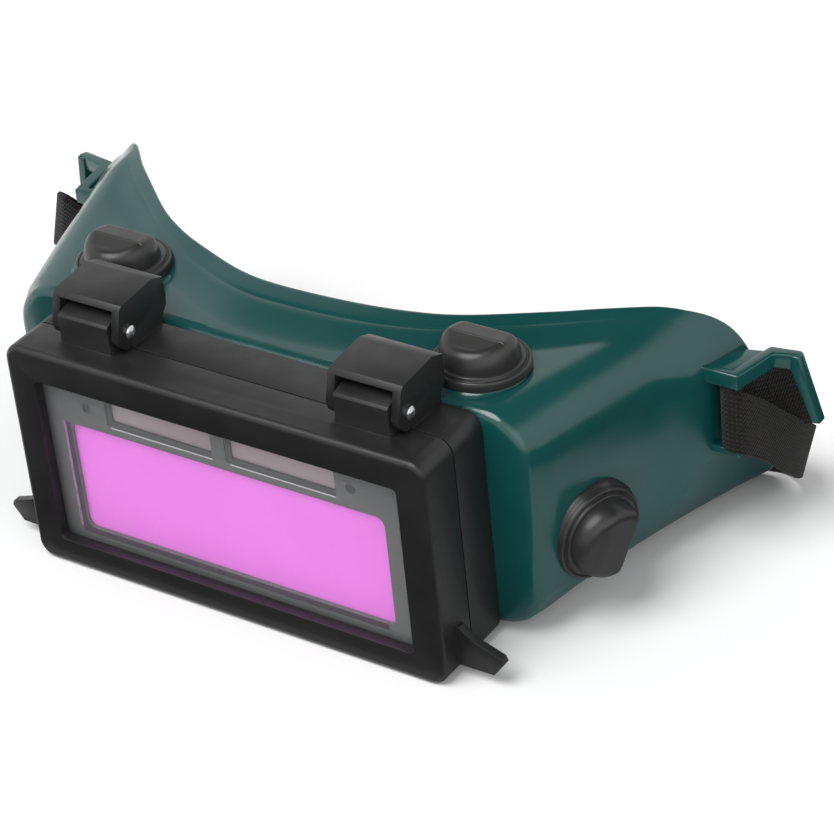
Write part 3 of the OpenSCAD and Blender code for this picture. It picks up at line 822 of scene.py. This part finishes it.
MAT = {
    "shroud": shroud_material(),
    "frame": moulded("frame_plastic", (0.0125, 0.0125, 0.0125), 0.4, 0.012, 2400),
    "vent": moulded("vent_plastic", (0.023, 0.0226, 0.0222), 0.32, 0.004, 1500),
    "gasket": moulded("black_rubber", (0.012, 0.012, 0.012), 0.7, 0.02, 1200),
    "bezel": moulded("filter_plastic", (0.088, 0.09, 0.0885), 0.4, 0.006, 2200, 0.06, 0.004,
                     uneven=0.3),
    # painted shade: a dark strip standing in for the shaded inner walls of the viewing area's
    # opening
    "painted_recess_shade": moulded("filter_painted_recess_shade", (0.032, 0.017, 0.032), 0.35, 0.004, 2200, 0.06),
    "recess_edge": moulded("filter_recess_edge", (0.28, 0.13, 0.28), 0.3, 0.004, 2200, 0.06),
    # painted shade: the cells' inner ledge is darker than the bezel for the shade inside the
    # opening
    "cell_ledge_painted_shade": moulded("cell_ledge_painted_shade", (0.06, 0.058, 0.059), 0.4, 0.004, 2200, 0.06),
    # painted highlight: a bright strip for the light caught along the foot of each cell's
    # opening
    "painted_edge_highlight": moulded("cell_painted_highlight", (0.5, 0.5, 0.5), 0.25, 0.004, 2200, 0.06),
    "board": moulded("board_laminate", (0.02, 0.13, 0.06), 0.5, 0.01, 900),
    "sensor": moulded("sensor_lens", (0.045, 0.045, 0.05), 0.25, 0.002, 1500),
    "cell": moulded("solar_cell_face", (0.3, 0.247, 0.264), 0.3, 0.003, 2400, 0.08, 0.002,
                    uneven=0.1),
    "glass": moulded("filter_coating", (0.745, 0.175, 0.715), 0.22, 0.001, 1500, 0.03,
                     0.001, uneven=0.1),
    "lcd": clear_material("lcd_glass", (0.4, 0.44, 0.48), 0.5, 0.08),
    "plate": clear_material("cover_plate_clear", (0.9, 0.93, 0.95), 0.035, 0.04),
    "lens": clear_material("safety_lens_clear", (0.82, 0.9, 0.9), 0.2, 0.03),
    "steel": material("pin_steel", (0.72, 0.72, 0.74), 0.22, Metallic=1.0),
    "webbing": weave_material(),
}
add_bump(MAT["steel"], [(noise(MAT["steel"], 900, 3), 0.01)])
link(MAT["steel"], to_range(MAT["steel"], noise(MAT["steel"], 500), 0.15, 0.35),
     bsdf_of(MAT["steel"]).inputs["Roughness"])

# ---------- the goggles ----------

paint(make_shroud(), MAT["shroud"])
paint(make_strap(), MAT["webbing"])

for part, body in (("rear_frame", SHELL_BODY), ("flip_cover", COVER_BODY)):
    paint(softened(part, body, 0.45), MAT["frame"])
bezel = softened("filter_bezel", COVER_BODY, 0.12, 2)
paint(bezel, MAT["bezel"])
paint(softened("strap_slider", SLIDER_BODY, 0.4), MAT["vent"])
for key in VENTS:
    make_vent(key)
for side in ("left", "right"):
    repaint_node("hinge_pin_" + side, MAT["steel"])
    repaint_node("solar_cell_" + side, MAT["cell"])
    repaint_node("light_sensor_" + side, MAT["sensor"])
for part in ("frame_retainer", "lens_clip", "filter_clip", "filter_back"):
    repaint_node(part, MAT["frame"])
repaint_node("lens_gasket", MAT["gasket"])
repaint_node("clear_lens", MAT["lens"])
repaint_node("cover_plate", MAT["plate"])
repaint_node("filter_glass", MAT["glass"])
repaint_node("lcd_cell_front", MAT["lcd"])
repaint_node("lcd_cell_rear", MAT["lcd"])
repaint_node("circuit_board", MAT["board"])

# ---------- the filter's face ----------

BEZEL_FACE, BEZEL_BACK = 4.4, 5.55
VIEW_LEFT, VIEW_RIGHT, VIEW_LOW, VIEW_TOP, VIEW_R = -47, 45, -21.3, 9.7, 2.5
CELLS = [(-35.05, -3.55), (0.45, 31.95)]
CELL_LOW, CELL_TOP = 12.0, 19.0
TRIM_FRONT, TRIM_BACK = BEZEL_FACE - 0.06, BEZEL_FACE + 0.01    # trim laid on the face
BORDER_W, BORDER_H = 1.4, 1.6      # dark border at the viewing area's left and foot: painted shade for the opening's inner walls
LEDGE = 1.3                        # ledge inside a cell's opening, coloured darker than the bezel as painted shade


def face_trim():
    """Strips in the filter's face at the left and foot of the viewing area and of the solar
    cells, as (x, z outline, front, back, material): painted shade where the openings' inner
    walls would show, a pink line outside it at the viewing area's left, a darker ledge inside
    each cell's opening as painted shade, and a painted highlight line at each cell's foot."""
    arc = [(VIEW_LEFT + VIEW_R * (1 - math.sin(a)), VIEW_LOW + VIEW_R * (1 - math.cos(a)))
           for a in np.radians(np.arange(0, 91, 15))]
    # painted shade along the viewing area's left and foot
    around = [(VIEW_LEFT - BORDER_W, VIEW_TOP), (VIEW_LEFT - BORDER_W, VIEW_LOW - BORDER_H),
              (VIEW_RIGHT - 2, VIEW_LOW - BORDER_H), (VIEW_RIGHT - 2, VIEW_LOW)]
    around += arc + [(VIEW_LEFT, VIEW_TOP)]
    left = [(VIEW_LEFT - BORDER_W - 0.8, VIEW_TOP), (VIEW_LEFT - BORDER_W - 0.8, VIEW_LOW),
            (VIEW_LEFT - BORDER_W - 0.1, VIEW_LOW), (VIEW_LEFT - BORDER_W - 0.1, VIEW_TOP)]
    trim = [(around, TRIM_FRONT, TRIM_BACK, "painted_recess_shade"),
            (left, TRIM_FRONT, TRIM_BACK, "recess_edge")]
    for low_x, high_x in CELLS:
        # the ledge's darker colour is painted shade
        ledge = [(low_x - 0.1, CELL_TOP), (low_x - 0.1, CELL_LOW - 0.1),
                 (high_x, CELL_LOW - 0.1), (high_x, CELL_LOW + 1.1),
                 (low_x + LEDGE, CELL_LOW + LEDGE), (low_x + LEDGE, CELL_TOP)]
        # painted highlight along the foot of each cell
        line = [(low_x + 1.2, CELL_LOW - 0.3), (high_x, CELL_LOW - 0.3),
                (high_x, CELL_LOW - 0.02), (low_x + 1.2, CELL_LOW - 0.02)]
        trim += [(ledge, BEZEL_FACE + 0.5, BEZEL_BACK, "cell_ledge_painted_shade"),
                 (line, TRIM_FRONT, TRIM_BACK, "painted_edge_highlight")]
    return trim


def add_trim(obj):
    """Join the trim to the bezel, as closed shells with materials of their own."""
    bm = bmesh.new()
    bm.from_mesh(obj.data)
    for outline, front, back, key in face_trim():
        strip = prism(outline, 1, front, back)
        known = len(bm.faces)
        bm.from_mesh(strip.data)
        bm.faces.ensure_lookup_table()
        if MAT[key].name not in obj.data.materials:
            obj.data.materials.append(MAT[key])
        index = list(obj.data.materials).index(MAT[key])
        for face in bm.faces[known:]:
            face.material_index = index
            face.smooth = False
        discard(strip)
    bm.to_mesh(obj.data)
    bm.free()


add_trim(bezel)

# ---------- floor, light and camera ----------

def make_floor():
    size = 9.0
    mesh = bpy.data.meshes.new("floor")
    mesh.from_pydata([(-size, -size, 0), (size, -size, 0), (size, size, 0), (-size, size, 0)],
                     [], [[0, 1, 2, 3]])
    floor = bpy.data.objects.new("floor", mesh)
    floor.location.z = cad_bounds[0].z
    bpy.context.collection.objects.link(floor)
    mat = material("floor_pale", (0.96, 0.96, 0.96), 0.85, Specular_IOR_Level=0.1)
    varied(mat, (0.96, 0.96, 0.96), 0.01, 3)
    paint(floor, mat)


FLAG_REACH, FLAG_CENTRE_Y = 14, 45     # how many times the card's inner edge its outer one is
FLAG_RISE = 0.0015                     # height of the card over the floor, in metres


def make_flags():
    """Grey card under the object, and black card in front and to the right of it, out of
    sight: only reflections see them, so glossy faces turned to the floor keep their depth."""
    inner = [(-82, -2), (72, -2), (150, -20), (138, 62), (124, 88), (108, 108), (96, 160)]
    n = len(inner)
    outer = [(x * FLAG_REACH, (y - FLAG_CENTRE_Y) * FLAG_REACH) for x, y in inner]
    verts = [(x, y, 0) for x, y in inner + outer]
    faces = [[i, i + 1, n + i + 1, n + i] for i in range(n - 1)] + [list(range(n))]
    mesh = bpy.data.meshes.new("flag")
    mesh.from_pydata([(x * MM, y * MM + ORIGIN.y, z) for x, y, z in verts], [], faces)
    flag = bpy.data.objects.new("flag", mesh)
    flag.location.z = cad_bounds[0].z + FLAG_RISE
    bpy.context.collection.objects.link(flag)
    for ray in ("camera", "diffuse", "shadow", "transmission", "volume_scatter"):
        setattr(flag, "visible_" + ray, False)
    paint(flag, material("flag_black", (0.01, 0.01, 0.01), 1.0, Specular_IOR_Level=0.0))
    flag.data.materials.append(material("flag_grey", (0.45, 0.45, 0.45), 1.0,
                                        Specular_IOR_Level=0.0))
    flag.data.polygons[n - 1].material_index = 1


def sun(name, azimuth, elevation, strength, softness):
    data = bpy.data.lights.new(name, "SUN")
    data.energy = strength
    data.angle = math.radians(softness)
    light = bpy.data.objects.new(name, data)
    a, e = math.radians(azimuth), math.radians(elevation)
    back = Vector((math.sin(a) * math.cos(e), -math.cos(a) * math.cos(e), math.sin(e)))
    light.rotation_euler = (-back).to_track_quat("-Z", "Y").to_euler()
    bpy.context.collection.objects.link(light)


def make_world():
    """A pale backdrop below a dark ceiling."""
    world = bpy.data.worlds.new("studio")
    bpy.context.scene.world = world
    world.use_nodes = True
    tree = world.node_tree
    background = tree.nodes["Background"]
    coord = tree.nodes.new("ShaderNodeTexCoord")
    split = tree.nodes.new("ShaderNodeSeparateXYZ")
    tree.links.new(coord.outputs["Generated"], split.inputs[0])
    r = tree.nodes.new("ShaderNodeValToRGB")
    # sine of the elevation, brightness
    stops = [(0.0, 0.85), (0.3, 1.0), (0.62, 0.95), (0.7, 0.5), (0.77, 0.1), (1.0, 0.05)]
    while len(r.color_ramp.elements) < len(stops):
        r.color_ramp.elements.new(0.5)
    for e, (pos, v) in zip(r.color_ramp.elements, stops):
        e.position = pos
        e.color = (v, v, v, 1)
    tree.links.new(split.outputs["Z"], r.inputs["Fac"])
    tree.links.new(r.outputs["Color"], background.inputs["Color"])
    background.inputs["Strength"].default_value = 0.85


CAMERA_AZ, CAMERA_EL, CAMERA_ROLL = 36.55, 33.31, -6.09
CAMERA_AT = (-46.63, -22.86, 764.36)      # the design origin in the camera's own axes, mm
LENS_MM, SENSOR_MM = 139.5, 36.0


def make_camera():
    a, e, roll = (math.radians(v) for v in (CAMERA_AZ, CAMERA_EL, CAMERA_ROLL))
    back = Vector((math.sin(a) * math.cos(e), -math.cos(a) * math.cos(e), math.sin(e)))
    right0 = (-back).cross(Vector((0, 0, 1))).normalized()
    up0 = right0.cross(-back)
    right = math.cos(roll) * right0 + math.sin(roll) * up0
    up = -math.sin(roll) * right0 + math.cos(roll) * up0
    eye = -(CAMERA_AT[0] * right + CAMERA_AT[1] * up - CAMERA_AT[2] * back)
    data = bpy.data.cameras.new("camera")
    data.lens, data.sensor_width = LENS_MM, SENSOR_MM
    data.clip_start, data.clip_end = 0.01, 50
    camera = bpy.data.objects.new("camera", data)
    rows = Matrix((right, up, back)).transposed().to_4x4()
    rows.translation = ORIGIN + eye * MM
    camera.matrix_world = rows
    bpy.context.collection.objects.link(camera)
    bpy.context.scene.camera = camera


make_floor()
make_flags()
make_world()
make_camera()
sun("key", -20, 62, 2.3, 40)
sun("fill", 60, 35, 0.5, 60)
bpy.context.scene.view_settings.view_transform = "Standard"
